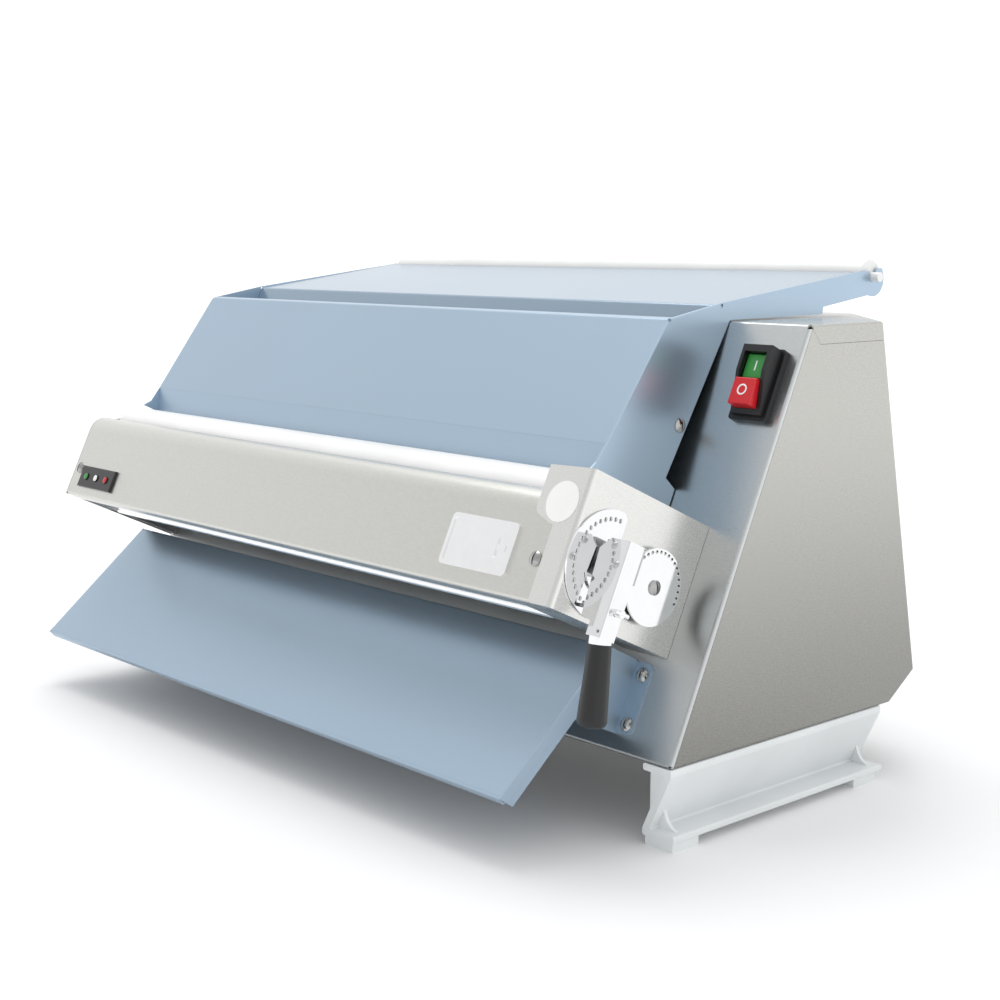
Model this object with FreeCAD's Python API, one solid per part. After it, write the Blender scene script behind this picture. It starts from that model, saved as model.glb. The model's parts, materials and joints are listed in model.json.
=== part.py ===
"""Table-top dough sheeter: tapered sheet-metal housing on two moulded feet, a roller head on its sloping
front face, an infeed hopper with a tray above and an outlet chute below.

Millimetres.  The parts are drawn about the housing datum: X = 0 is the middle of the width, Y = 0 and
Z = 0 are the bottom front edge of the housing, +Y runs back and +Z up.  write() moves every part so that
the finished machine stands on Z = 0 with its footprint centred on the origin.

The roller head is drawn in face coordinates (x, n, u): n is the distance out of the sloping front face
and u the distance up along it.
"""
import FreeCAD, Part
import math
import os

V = FreeCAD.Vector

# ---------------------------------------------------------------- driving dimensions
HALF_W = 345.0            # half the housing's width
LEAN = 25.36              # the front face leans back from the vertical, degrees
TOP_Z = 290.0             # height of the housing
REAR_Y = 320.0            # back of the housing
SHEET = 1.5               # housing sheet thickness
BOTTOM_Z = -2.0           # underside of the base
SIDE_REAR_TOP = 221.8     # rear edge of the side face, at the top
SIDE_REAR_LOW = (278.3, 18.0)   # and where it turns under (y, z)
BOTTOM_REAR = 248.5       # back edge of the base
CORNER_RUN = 98.0         # length of the 45 degree corner panels, in plan, at the top
BEND_R = 2.4              # outside radius of the housing's bends
FOLD = 2.7                # the front sheet turns round the corner by this much
TAB_Z = 276.3             # lower edge of the top cover's side tabs
GLAND_HOLE = 8.1          # radius of the cable gland's hole

FOOT_H = 59.3             # the housing datum's height above the table
FOOT_LEN = 236.0
FOOT_REACH = 3.3          # the foot's outer edge stands this far outside the housing
PADS_Y = ((0.5, 27.0), (202.5, 229.5))

HEAD_LOW = 70.5                       # u of the head's underside
HEAD_TOP_REAR, HEAD_TOP = 167.0, 165.5    # u of the end plate's top edge, at the housing and at the fold
HEAD_OUT = 123.9                      # n of the flap's outer face
FLAP = 1.4                            # flap thickness
COVER_N = 122.2                       # n of the front cover's face
HEAD_LEFT, HEAD_RIGHT = -342.2, 312.8
PLATE = 6.0                           # frame plate thickness
FRAME_LEFT, FRAME_RIGHT = -340.5, 264.0   # lower x of each frame plate
TIE_RODS = ((108.0, 84.0), (12.0, 84.0))  # (n, u)
TIE_R = 5.0

ROLLER_R = 25.0
ROLLER_U = 146.8                      # u of both roller axes
REAR_N, FRONT_N = 29.0, 80.0          # n of the two roller axes
ROLLER_X = (-329.0, 258.0)
SHAFT_R = 7.0
BUSH_R = 9.0
RUNNING = 0.05                        # radial running clearance
GAP_TRAVEL = 3.8                      # how far the front roller moves away from the rear one
CLEAR = 0.3
SNUG = 0.02                           # a fixed pin in its hole
CARRIAGE_X = ((259.4, 263.6), (-334.1, -330.3))     # right and left carriage plates
CARRIAGE_BOSS_R = 11.0
STUD_R = 4.0                          # idler gears' studs

LEVER_N, LEVER_U = 88.0, 110.8        # lever and cam shaft axis
NOTCH = 8.9                           # pitch of the index holes, degrees
NOTCHES = 19
LEVER_SWEEP = NOTCHES * NOTCH
INDEX_R = 30.6                        # radius of the ring of index holes
FIRST_NOTCH = -80.2                   # angle of the first hole from +n towards +u
SECTOR_X = (313.1, 314.6)             # index plate
SECTOR_R = 37.0
CAM_SHAFT_R = 5.0
CAM_HIGH = 14.0                       # cam radius with the rollers closed
LEVER_OUT = 341.0                     # outer face of the lever's strip
LEVER_LOW, LEVER_HIGH = 62.0, 127.0
LEVER_FRONT = 101.2                   # n of the lever flange's front
LEVER_T = 1.4
PLUNGER_R = 1.4
GRIP_TOP = (335.4, 94.0, 62.0)        # x, n, u of the ferrule's upper end
GRIP_OUT, GRIP_IN = 2.5, 15.0         # the grip's tilt away from the machine and towards the face, degrees
DISC_X = (317.4, 318.9)               # limit disc
DISC_N, DISC_U = 41.9, 110.3          # its axis
DISC_R = 26.7
DISC_HOLES = 20                        # holes along its rim, and the angle from one to the next
DISC_PITCH = 10.0

GEAR_MODULE, GEAR_TEETH = 2.6, 10    # long teeth, which stay in mesh as the gap opens
GEAR_X = (276.0, 288.0)
REAR_PULLEY_R, MOTOR_PULLEY_R = 15.0, 12.0
BELT = 2.5
PULLEY_X = (294.0, 306.0)
MOTOR_Y, MOTOR_Z = 185.0, 75.0        # motor and gearbox output axis

HOPPER_X = (-322.0, 271.6)            # outer faces of the hopper's sides
HOPPER_FRONT_TOP, HOPPER_FOLD = (72.0, 293.8), (10.4, 210.6)      # (y, z)
TRAY_FRONT, TRAY_REAR = (127.6, 302.2), (303.0, 325.2)
TRAY_ROLLER = (310.8, 319.6)          # (y, z) of the roller at the end of the upper tray
TRAY_ROLLER_R = 13.75
PIN_R = 3.8
PIN_REACH = 7.0                       # the roller's pins stand this far outside the hopper's sides

CHUTE_X = (-339.0, 289.2)
CHUTE_TOP, CHUTE_FRONT = (-3.0, 74.1), (-104.3, -11.4)   # (y, z) of the sloping part's ends
CHUTE_SIDE = 14.2                     # depth of its side flanges
CHUTE_LIP = 8.0                       # depth of its front lip

SWITCH_X = (302.7, 335.2)
SWITCH_U = (245.5, 299.6)
BUTTON_X = (309.4, 328.5)
GREEN_U, RED_U = (274.4, 292.6), (253.0, 272.6)

REAR_REACH = TRAY_ROLLER[0] + 0.6 + TRAY_ROLLER_R
FRONT_REACH = -CHUTE_FRONT[0]
TO_FRAME = V(0, (FRONT_REACH - REAR_REACH) / 2, FOOT_H)

SIN, COS = math.sin(math.radians(LEAN)), math.cos(math.radians(LEAN))
FACE_NORMAL = V(0, -COS, SIN)
FACE_UP = V(0, SIN, COS)
FRAME_OUT_R = FRAME_RIGHT + PLATE
FRAME_IN_L = FRAME_LEFT + PLATE


# ---------------------------------------------------------------- helpers
def write(name, *shapes):
    """Save one node; several shapes stay separate solids of one node."""
    solids = [solid for shape in shapes for solid in shape.Solids]
    out = solids[0] if len(solids) == 1 else Part.makeCompound(solids)
    out = out.copy()
    out.translate(TO_FRAME)
    out.exportStep("parts/%s.step" % name)


def box(x, y, z):
    """A box from (low, high) pairs."""
    return Part.makeBox(x[1] - x[0], y[1] - y[0], z[1] - z[0], V(x[0], y[0], z[0]))


def tilt(shape):
    """Lay a shape drawn with Y = -n and Z = u onto the sloping face."""
    shape = shape.copy()
    shape.rotate(V(0, 0, 0), V(1, 0, 0), -LEAN)
    return shape


def face_point(x, n, u):
    return V(x, 0, 0) + FACE_NORMAL * n + FACE_UP * u


def to_yz(n, u):
    """Face coordinates as a (y, z) pair."""
    point = face_point(0, n, u)
    return point.y, point.z


def face_box(x, n, u):
    return tilt(box(x, (-n[1], -n[0]), u))


def rod(x, y, z, radius):
    """A round bar along X."""
    return Part.makeCylinder(radius, x[1] - x[0], V(x[0], y, z), V(1, 0, 0))


def face_rod(x, n, u, radius):
    y, z = to_yz(n, u)
    return rod(x, y, z, radius)


def tube(x, n, u, radius, bore):
    return face_rod(x, n, u, radius).cut(face_rod((x[0] - 1, x[1] + 1), n, u, bore))


def prism(points, x):
    """A (y, z) outline carried along X."""
    corners = [V(x[0], y, z) for y, z in points]
    return Part.Face(Part.makePolygon(corners + corners[:1])).extrude(V(x[1] - x[0], 0, 0))


def face_prism(points, x):
    """An (n, u) outline carried along X."""
    return prism([to_yz(n, u) for n, u in points], x)


def face_plate(points, n):
    """An (x, u) outline carried along n."""
    corners = [V(x, -n[0], u) for x, u in points]
    sheet = Part.Face(Part.makePolygon(corners + corners[:1])).extrude(V(0, n[0] - n[1], 0))
    return tilt(sheet)


def union(first, *rest):
    for other in rest:
        first = first.fuse(other)
    return first.removeSplitter()


def aim(shape, origin, direction):
    """Put a shape drawn along +Z at an origin, pointing along a direction."""
    shape = shape.copy()
    shape.Placement = FreeCAD.Placement(origin, FreeCAD.Rotation(V(0, 0, 1), direction))
    return shape


def half_space(point, normal):
    size = 2000.0
    block = Part.makeBox(size, size, size, V(-size / 2, -size / 2, -size))
    return aim(block, point, normal)


def corner_arc(before, corner, after, radius):
    """Ends and middle of the arc that rounds one corner of a path in the plane."""
    a, c, b = V(before[0], before[1], 0), V(corner[0], corner[1], 0), V(after[0], after[1], 0)
    back, ahead = (a - c).normalize(), (b - c).normalize()
    half = back.getAngle(ahead) / 2
    reach = radius / math.tan(half)
    bisector = (back + ahead).normalize()
    centre = c + bisector * (radius / math.sin(half))
    return c + back * reach, centre - bisector * radius, c + ahead * reach


def bent_sheet(path, thickness, radii, x, to_plane=None):
    """A sheet folded along a path of (y, z) points and carried along X.

    The sheet lies to the right of the path.  radii gives the inside bend radius at each inner point.
    """
    flat = [V(a, b, 0) for a, b in path]
    ways = [(b - a).normalize() for a, b in zip(flat, flat[1:])]
    sides = [V(way.y, -way.x, 0) for way in ways]
    other = [flat[0] + sides[0] * thickness]
    for i in range(1, len(flat) - 1):
        middle = (sides[i - 1] + sides[i]).normalize()
        other.append(flat[i] + middle * (thickness / middle.dot(sides[i])))
    other.append(flat[-1] + sides[-1] * thickness)

    def lay(point):
        if to_plane:
            y, z = to_plane(point.x, point.y)
            return V(x[0], y, z)
        return V(x[0], point.x, point.y)

    def run(points, outer_on_left_turn):
        edges, start = [], points[0]
        for i in range(1, len(points) - 1):
            left_turn = ways[i - 1].cross(ways[i]).z > 0
            outer = left_turn == outer_on_left_turn
            radius = radii[i - 1] + (thickness if outer else 0.0)
            first, middle, last = corner_arc(points[i - 1], points[i], points[i + 1], radius)
            edges.append(Part.LineSegment(lay(start), lay(first)).toShape())
            edges.append(Part.Arc(lay(first), lay(middle), lay(last)).toShape())
            start = last
        edges.append(Part.LineSegment(lay(start), lay(points[-1])).toShape())
        return edges

    edges = run(flat, False) + run(other, True)
    edges.append(Part.LineSegment(lay(flat[0]), lay(other[0])).toShape())
    edges.append(Part.LineSegment(lay(flat[-1]), lay(other[-1])).toShape())
    wire = Part.Wire(Part.__sortEdges__(edges))
    return Part.Face(wire).extrude(V(x[1] - x[0], 0, 0))


def rounded(shape, radius, wanted):
    """Fillet the edges that a test picks out."""
    edges = [edge for edge in shape.Edges if wanted(edge)]
    return shape.makeFillet(radius, edges) if edges else shape


def slotted_screw(origin, direction, upright=True):
    """A domed machine screw with a slotted head, its head's underside at the origin."""
    head_r, head_h, slot_w, slot_d, shank_r, shank = 5.2, 3.0, 1.3, 1.5, 2.4, 9.0
    ball = 8.0
    head = Part.makeCylinder(head_r, head_h)
    head = head.common(Part.makeSphere(ball, V(0, 0, head_h - ball)))
    slot = Part.makeBox(slot_w, 2 * ball, slot_d, V(-slot_w / 2, -ball, head_h - slot_d))
    if not upright:
        slot.rotate(V(0, 0, 0), V(0, 0, 1), 90)
    shank = Part.makeCylinder(shank_r, shank, V(0, 0, -shank))
    return aim(head.cut(slot).fuse(shank), origin, direction)


def socket_screw(origin, direction):
    """A low socket-head screw, its head's underside at the origin."""
    head_r, head_h, socket_r, socket_d, shank_r, shank = 4.6, 3.0, 2.0, 1.8, 2.9, 8.0
    head = Part.makeCylinder(head_r, head_h)
    hexagon = Part.makePolygon([V(socket_r * math.cos(math.radians(60 * i)),
                                  socket_r * math.sin(math.radians(60 * i)), head_h - socket_d)
                                for i in range(7)])
    socket = Part.Face(hexagon).extrude(V(0, 0, head_h))
    return aim(head.cut(socket).fuse(Part.makeCylinder(shank_r, shank, V(0, 0, -shank))),
               origin, direction)


# ---------------------------------------------------------------- housing
def housing_planes():
    """Point and outward normal of each outer face."""
    corner_a = V(HALF_W, SIDE_REAR_TOP, TOP_Z)
    corner_b = V(HALF_W, *SIDE_REAR_LOW)
    corner_c = V(HALF_W - CORNER_RUN, SIDE_REAR_TOP + CORNER_RUN, TOP_Z)
    slant = (corner_b - corner_a).cross(corner_c - corner_a).normalize()
    under = V(0, SIDE_REAR_LOW[1] - BOTTOM_Z, BOTTOM_REAR - SIDE_REAR_LOW[0]).normalize()
    return [(V(0, 0, 0), FACE_NORMAL), (V(0, 0, TOP_Z), V(0, 0, 1)), (V(0, 0, BOTTOM_Z), V(0, 0, -1)),
            (V(HALF_W, 0, 0), V(1, 0, 0)), (V(-HALF_W, 0, 0), V(-1, 0, 0)),
            (V(0, REAR_Y, 0), V(0, 1, 0)), (V(0, BOTTOM_REAR, BOTTOM_Z), under),
            (corner_a, slant), (V(-corner_a.x, corner_a.y, corner_a.z), V(-slant.x, slant.y, slant.z))]


def inside(planes, depth):
    """The solid bounded by the planes, each moved inwards."""
    block = Part.makeBox(1000, 1000, 1000, V(-500, -500, -500))
    for point, normal in planes:
        block = block.common(half_space(point - normal * depth, normal))
    return block


def housing_shell():
    planes = housing_planes()
    outer = inside(planes, 0)
    outer = outer.makeFillet(BEND_R, outer.Edges)
    return outer.cut(inside(planes, SHEET))


def both_sides(make):
    """A shape made for the right and again for the left."""
    return make(1).fuse(make(-1))


def side_slab(sign):
    inner = HALF_W - SHEET
    return box((inner, HALF_W + 1) if sign > 0 else (-HALF_W - 1, -inner), (-5, 330), (-5, 300))


def front_zone():
    far = HALF_W + 2
    sheet = face_box((-far, far), (-SHEET, 5), (-10, 340))
    fold = face_box((-far, far), (-FOLD, 5), (-10, 340))
    return sheet.fuse(fold.common(both_sides(side_slab)))


def top_zone():
    far = HALF_W + 2
    sheet = box((-far, far), (-5, REAR_Y + 5), (TOP_Z - SHEET, TOP_Z + 5))
    tab = prism([(125, TOP_Z + 5), (140.4, 286.6), (148.9, TAB_Z), (300, TAB_Z), (300, TOP_Z + 5)],
                (-far, far))
    return sheet.fuse(tab.common(both_sides(side_slab)))


def corner_reliefs():
    """Small square holes that the sheet has where three bends meet."""
    size = 2.8
    cut = None
    for sign in (1, -1):
        for y, z in ((z * SIN / COS, z) for z in (TOP_Z, BOTTOM_Z)):
            x = (HALF_W - size, HALF_W + 1) if sign > 0 else (-HALF_W - 1, -HALF_W + size)
            block = box(x, (y - size, y + size), (z - size, z + size))
            cut = block if cut is None else cut.fuse(block)
    return cut


def belt_slot():
    margin = 1.2
    reach = REAR_PULLEY_R + BELT + margin
    return face_box((PULLEY_X[0] - 3, PULLEY_X[1] + 3), (-8, 4), (ROLLER_U - reach, ROLLER_U + reach))


def vents():
    """Two rows of upright slots through the back."""
    length, width, pitch = 60.0, 4.0, 14.0
    slots = [box((x0 + i * pitch, x0 + i * pitch + width), (REAR_Y - 5, REAR_Y + 5), (z, z + length))
             for x0 in (-187.0, 95.0) for i in range(7) for z in (90.0, 180.0)]
    return Part.makeCompound(slots)


def gland_place():
    """Where the cable gland sits on the left corner panel, and its outward direction."""
    point, normal = housing_planes()[8]
    start = V(-319.5, 0, 60.0)
    start.y = point.y - ((start.x - point.x) * normal.x + (start.z - point.z) * normal.z) / normal.y
    return start, normal


def build_housing():
    shell = housing_shell().cut(corner_reliefs())
    front, top = front_zone(), top_zone()
    seam = 0.25
    screw_holes = [aim(Part.makeCylinder(2.6, 20, V(0, 0, -12)), origin, way)
                   for origin, way in slotted_places() if way == FACE_NORMAL and origin_on_face(origin)]
    switch_hole = face_box((SWITCH_X[0] + 6, SWITCH_X[1] - 6), (-8, 8), (SWITCH_U[0] + 7, SWITCH_U[1] - 7))
    panel = shell.common(front).cut(belt_slot()).cut(switch_hole)
    for hole in screw_holes:
        panel = panel.cut(hole)
    write("housing_front", panel)

    rest = shell.cut(front)
    cover = rest.common(top)
    write("housing_top", cover)
    rest = rest.cut(top)

    base = box((-400, 400), (-5, 400), (BOTTOM_Z - 5, BOTTOM_Z + SHEET))
    plate = rest.common(base)
    for origin, way in foot_screw_places():
        plate = plate.cut(aim(Part.makeCylinder(3.2, 20, V(0, 0, -10)), origin, way))
    write("base_plate", plate)
    rest = rest.cut(base)

    gap_front = face_box((-400, 400), (-FOLD - seam, 5), (-10, 340))
    gap_top = top.copy()
    gap_top.translate(V(0, 0, -seam))
    for sign, name in ((1, "housing_side_right"), (-1, "housing_side_left")):
        side = rest.common(side_slab(sign)).cut(gap_front).cut(gap_top)
        write(name, side)
    back = rest.cut(both_sides(side_slab)).cut(vents())
    gland, way = gland_place()
    back = back.cut(aim(Part.makeCylinder(GLAND_HOLE, 20, V(0, 0, -10)), gland, way))
    for origin, way in back_screw_places():
        back = back.cut(aim(Part.makeCylinder(3.2, 20, V(0, 0, -10)), origin, way))
    write("rear_cover", back)


def origin_on_face(origin):
    return abs(origin.dot(FACE_NORMAL)) < 4


# ---------------------------------------------------------------- feet and fixings
def foot_screw_places():
    flange = 5.0
    return [(V(sign * 329.0, y, BOTTOM_Z - flange), V(0, 0, -1)) for sign in (1, -1) for y in (36.0, 196.0)]


def back_screw_places():
    return [(V(x, REAR_Y, z), V(0, 1, 0)) for x in (-228, 228) for z in (62.0, 276.0)]


def foot(sign):
    """A moulded Z-section rail with a gusset on each side of its web and a pad at each end."""
    reach = HALF_W + FOOT_REACH
    flange, low = 5.0, -52.8
    under, floor = BOTTOM_Z - flange, low + flange
    outline = [(319.6, BOTTOM_Z), (HALF_W, BOTTOM_Z), (HALF_W, under), (326.0, floor), (reach, floor),
               (reach, low), (319.7, low), (319.7, floor), (338.6, under), (319.6, under)]
    corners = [V(x, 0, z) for x, z in outline]
    rail = Part.Face(Part.makePolygon(corners + corners[:1])).extrude(V(0, FOOT_LEN, 0))
    rail = rounded(rail, 1.5, lambda edge: abs(edge.tangentAt(edge.FirstParameter).y) > 0.99)
    for y in (8.0, FOOT_LEN - 11.0):
        start, end = V(332.0, y, -33.0), V(345.6, y, floor - 0.5)
        hollow = Part.Arc(start, V(335.6, y, -42.8), end).toShape()
        sides = [Part.LineSegment(end, V(324.0, y, low + 1)).toShape(),
                 Part.LineSegment(V(324.0, y, low + 1), start).toShape()]
        rail = rail.fuse(Part.Face(Part.Wire([hollow] + sides)).extrude(V(0, 3.0, 0)))
    for y in (1.2, FOOT_LEN - 5.2):
        web = [V(325.6, y, under + 1), V(340.0, y, under + 1), V(340.0, y, -10.0), V(328.5, y, -34.0),
               V(325.6, y, -34.0)]
        rail = rail.fuse(Part.Face(Part.makePolygon(web + web[:1])).extrude(V(0, 4.0, 0)))
    for span in PADS_Y:
        rail = rail.fuse(box((322.0, 347.0), span, (-FOOT_H, low + 0.5)))
    rail = rail.removeSplitter()
    for origin, way in foot_screw_places()[:2]:
        rail = rail.cut(aim(Part.makeCylinder(3.2, 20, V(0, 0, -10)), origin, way))
    return rail if sign > 0 else rail.mirror(V(0, 0, 0), V(1, 0, 0))


def slotted_places():
    """Every slotted screw: on the cover, the chute's bracket, the hopper's sides and the limit disc."""
    cover = [(face_point(x, u_n[1], u_n[0]), FACE_NORMAL)
             for x, u_n in ((284.6, (99.8, COVER_N)), (-332.0, (96.9, COVER_N)))]
    chute = [(face_point(297.0, 1.2, u), FACE_NORMAL) for u in (55.0, 19.5)]
    chute += [(face_point(-331.0, 1.2, u), FACE_NORMAL) for u in (55.0, 19.5)]
    hopper = [(V(HOPPER_X[1], 84.6, 217.8), V(1, 0, 0)), (V(HOPPER_X[0], 84.6, 217.8), V(-1, 0, 0))]
    disc = [(face_point(DISC_X[1], DISC_N, DISC_U), V(1, 0, 0))]
    return cover + chute + hopper + disc


# ---------------------------------------------------------------- roller head
def frame_plate(x):
    """A side plate of the head, with the rear bush seat, the carriage slot and the shaft holes."""
    outline = [(1.0, 72), (118.0, 72), (118.0, 134), (112.5, 145), (104, 149), (88, 160), (70, 166),
               (1.0, 166)]
    plate = face_prism(outline, x)
    cut_x = (x[0] - 1, x[1] + 1)
    plate = plate.cut(face_rod(cut_x, REAR_N, ROLLER_U, BUSH_R))
    slot_r = CARRIAGE_BOSS_R + 0.15
    end_n = FRONT_N + GAP_TRAVEL + 0.15
    plate = plate.cut(face_rod(cut_x, FRONT_N, ROLLER_U, slot_r))
    plate = plate.cut(face_rod(cut_x, end_n, ROLLER_U, slot_r))
    plate = plate.cut(face_box(cut_x, (FRONT_N, end_n), (ROLLER_U - slot_r, ROLLER_U + slot_r)))
    plate = plate.cut(face_rod(cut_x, LEVER_N, LEVER_U, CAM_SHAFT_R + RUNNING))
    stud_n, stud_u = idler_axes()[1]
    for n in (stud_n, stud_n + GAP_TRAVEL):
        plate = plate.cut(face_rod(cut_x, n, stud_u, STUD_R + 0.4))
    low, high = stud_u - STUD_R - 0.4, stud_u + STUD_R + 0.4
    plate = plate.cut(face_box(cut_x, (stud_n, stud_n + GAP_TRAVEL), (low, high)))
    for n, u in TIE_RODS:
        plate = plate.cut(face_rod(cut_x, n, u, TIE_R))
    return plate


def idler_axes():
    """Axes of the two idler gears, which turn the front roller against the rear one."""
    pitch = GEAR_MODULE * GEAR_TEETH
    inset = (FRONT_N - REAR_N - pitch) / 2
    drop = math.sqrt(pitch ** 2 - inset ** 2)
    return (REAR_N + inset, ROLLER_U - drop), (FRONT_N - inset, ROLLER_U - drop)


def build_frames():
    stud_n, stud_u = idler_axes()[0]
    right = frame_plate((FRAME_RIGHT, FRAME_OUT_R))
    stud_hole = face_rod((FRAME_RIGHT - 1, FRAME_OUT_R + 1), stud_n, stud_u, STUD_R + SNUG)
    write("head_frame_right", right.cut(stud_hole))
    write("head_frame_left", frame_plate((FRAME_LEFT, FRAME_IN_L)))
    write("head_tie_rods", *[face_rod((FRAME_LEFT, FRAME_OUT_R), n, u, TIE_R) for n, u in TIE_RODS])
    write("rear_bushes", *[tube(x, REAR_N, ROLLER_U, BUSH_R, SHAFT_R + RUNNING)
                           for x in ((FRAME_RIGHT, FRAME_OUT_R), (FRAME_LEFT, FRAME_IN_L))])
    write("idler_stud", union(face_rod((FRAME_RIGHT, GEAR_X[1] + 3), stud_n, stud_u, STUD_R),
                              face_rod((FRAME_OUT_R, GEAR_X[0] - 0.4), stud_n, stud_u, 6.5)))


def flap_outline(top_drop):
    """The flap over the cover's end: its inner edge steps outwards in a soft S below the middle."""
    wide, narrow, jog_top, jog_low, bend = 271.4, 291.5, 135.5, 119.0, 2.4
    middle = ((wide + narrow) / 2, (jog_top + jog_low) / 2)
    upper = [(HEAD_RIGHT, HEAD_LOW), (HEAD_RIGHT, HEAD_TOP), (wide, HEAD_TOP - top_drop), (wide, jog_top)]
    lower = [(narrow, jog_low), (narrow, HEAD_LOW + 3), (narrow + 3, HEAD_LOW), (HEAD_RIGHT, HEAD_LOW)]
    curve = [(wide, jog_top), (wide + bend, middle[1] + 3.0), middle, (narrow - bend, middle[1] - 3.0),
             (narrow, jog_low)]
    spline = Part.BSplineCurve()
    down = V(0, 0, -1)
    spline.interpolate([V(x, 0, z) for x, z in curve], InitialTangent=down, FinalTangent=down)
    edges = [spline.toShape()]
    for rows in (upper, lower):
        edges += [Part.LineSegment(V(a[0], 0, a[1]), V(b[0], 0, b[1])).toShape()
                  for a, b in zip(rows, rows[1:])]
    return Part.Face(Part.Wire(Part.__sortEdges__(edges)))


def build_end_plate():
    """Side sheet of the gear space, with a flap over the cover's end, a top and a bottom flange."""
    outer = (HEAD_RIGHT - 2.0, HEAD_RIGHT)
    side = face_prism([(0.2, HEAD_LOW), (HEAD_OUT, HEAD_LOW), (HEAD_OUT, HEAD_TOP), (0.2, HEAD_TOP_REAR)],
                      outer)
    slope = 1.8
    flap = flap_outline(1.3).extrude(V(0, FLAP, 0))
    flap.translate(V(0, -HEAD_OUT, 0))
    corner = face_point(HEAD_RIGHT, HEAD_OUT, 0)

    def front_corner(edge):
        off = edge.valueAt((edge.FirstParameter + edge.LastParameter) / 2) - corner
        return abs(off.dot(FACE_NORMAL)) < 0.01 and abs(off.x) < 0.01 and edge.Length > 50

    plate = rounded(union(side, tilt(flap)), 3.8, front_corner)
    inner_n = HEAD_OUT - FLAP + 0.3
    top = face_prism([(1.0, HEAD_TOP_REAR - 1.5), (inner_n, HEAD_TOP - 1.5), (inner_n, HEAD_TOP),
                      (1.0, HEAD_TOP_REAR)], (272.6, outer[0] + 0.4))
    top.rotate(face_point(HEAD_RIGHT, 0, HEAD_TOP), FACE_NORMAL, slope)
    low = face_box((272.6, outer[0] + 0.4), (1.0, 105.0), (HEAD_LOW, HEAD_LOW + 1.5))
    plate = union(plate, top, low)
    hole_x = (outer[0] - 2, outer[1] + 2)
    plate = plate.cut(face_rod(hole_x, LEVER_N, LEVER_U, CAM_SHAFT_R + RUNNING))
    plate = plate.cut(face_rod(hole_x, DISC_N, DISC_U, 2.6))
    write("head_end_plate", plate)


def build_cover():
    path = [(106.0, HEAD_LOW), (COVER_N, HEAD_LOW), (COVER_N, 151.5), (100.0, 151.5)]
    cover = bent_sheet([(n, u) for n, u in reversed(path)], 1.2, (15.8, 1.6),
                       (HEAD_LEFT + 1.6, HEAD_RIGHT - 3.0), to_yz)
    cover = cover.cut(face_box((-400, 400), (90, 112.0), (140, 160)))
    for origin, way in slotted_places()[:2]:
        cover = cover.cut(aim(Part.makeCylinder(2.6, 20, V(0, 0, -12)), origin, way))
    write("front_cover", cover)


def build_left_end_cover():
    """Thin cover over the left frame plate, its outline following the front cover's bend."""
    x = (HEAD_LEFT, HEAD_LEFT + 1.4)
    plate = face_box(x, (1.0, COVER_N), (HEAD_LOW, 151.5)).fuse(face_box(x, (1.0, 70.0), (151.4, 166.0)))
    slope = face_prism([(69.9, 166.0), (69.9, 151.4), (104.0, 151.4), (88.0, 160.0)], x)
    plate = union(plate, slope)
    edge_at = face_point(0, COVER_N, 151.5)

    def top_corner(edge):
        off = edge.valueAt(edge.FirstParameter) - edge_at
        return abs(off.dot(FACE_NORMAL)) < 0.01 and abs(off.dot(FACE_UP)) < 0.01 and \
            abs(edge.tangentAt(edge.FirstParameter).x) > 0.99

    write("head_end_cover", rounded(plate, 16.9, top_corner))


def name_plate():
    """A blank raised plate: a rim round a shallow field, with a plain rolling-pin outline."""
    x, u = (194.0, 262.0), (83.2, 120.8)
    low = COVER_N
    plate = face_box(x, (low, low + 1.6), u)
    plate = rounded(plate, 4.0, lambda edge: abs(edge.tangentAt(edge.FirstParameter).dot(FACE_NORMAL)) > 0.99)
    field = face_box((x[0] + 3, x[1] - 3), (low + 0.8, low + 3), (u[0] + 3, u[1] - 3))
    field = rounded(field, 2.5, lambda edge: abs(edge.tangentAt(edge.FirstParameter).dot(FACE_NORMAL)) > 0.99)
    plate = plate.cut(field)
    middle = (u[0] + u[1]) / 2
    pin = rounded(face_box((209.5, 246.5), (low + 0.7, low + 2.0), (middle - 7.0, middle + 7.0)), 0.9,
                  lambda edge: abs(edge.tangentAt(edge.FirstParameter).dot(FACE_NORMAL)) > 0.99)
    handles = face_box((201.0, 255.0), (low + 0.7, low + 1.7), (middle - 2.2, middle + 2.2))
    return union(plate, pin, handles)


def badge():
    """A small domed badge with three plain round studs."""
    x, u, low = (-323.5, -264.5), (79.6, 99.5), COVER_N
    pad = face_box(x, (low, low + 2.4), u)
    pad = rounded(pad, 0.9, lambda edge: min_height(edge) > low + 2)
    middle = (u[0] + u[1]) / 2
    stud = Part.makeCylinder(3.4, 1.3)
    studs = [aim(stud, face_point(x[0] + 12 + 17.5 * i, low + 2.0, middle), FACE_NORMAL)
             for i in range(3)]
    return union(pad, *studs)


def build_head_trim():
    write("name_plate", name_plate())
    write("badge", badge())
    cap = aim(Part.makeCylinder(14.2, 0.5), face_point(293.2, HEAD_OUT, 140.3), FACE_NORMAL)
    write("blank_cap", cap)


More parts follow.
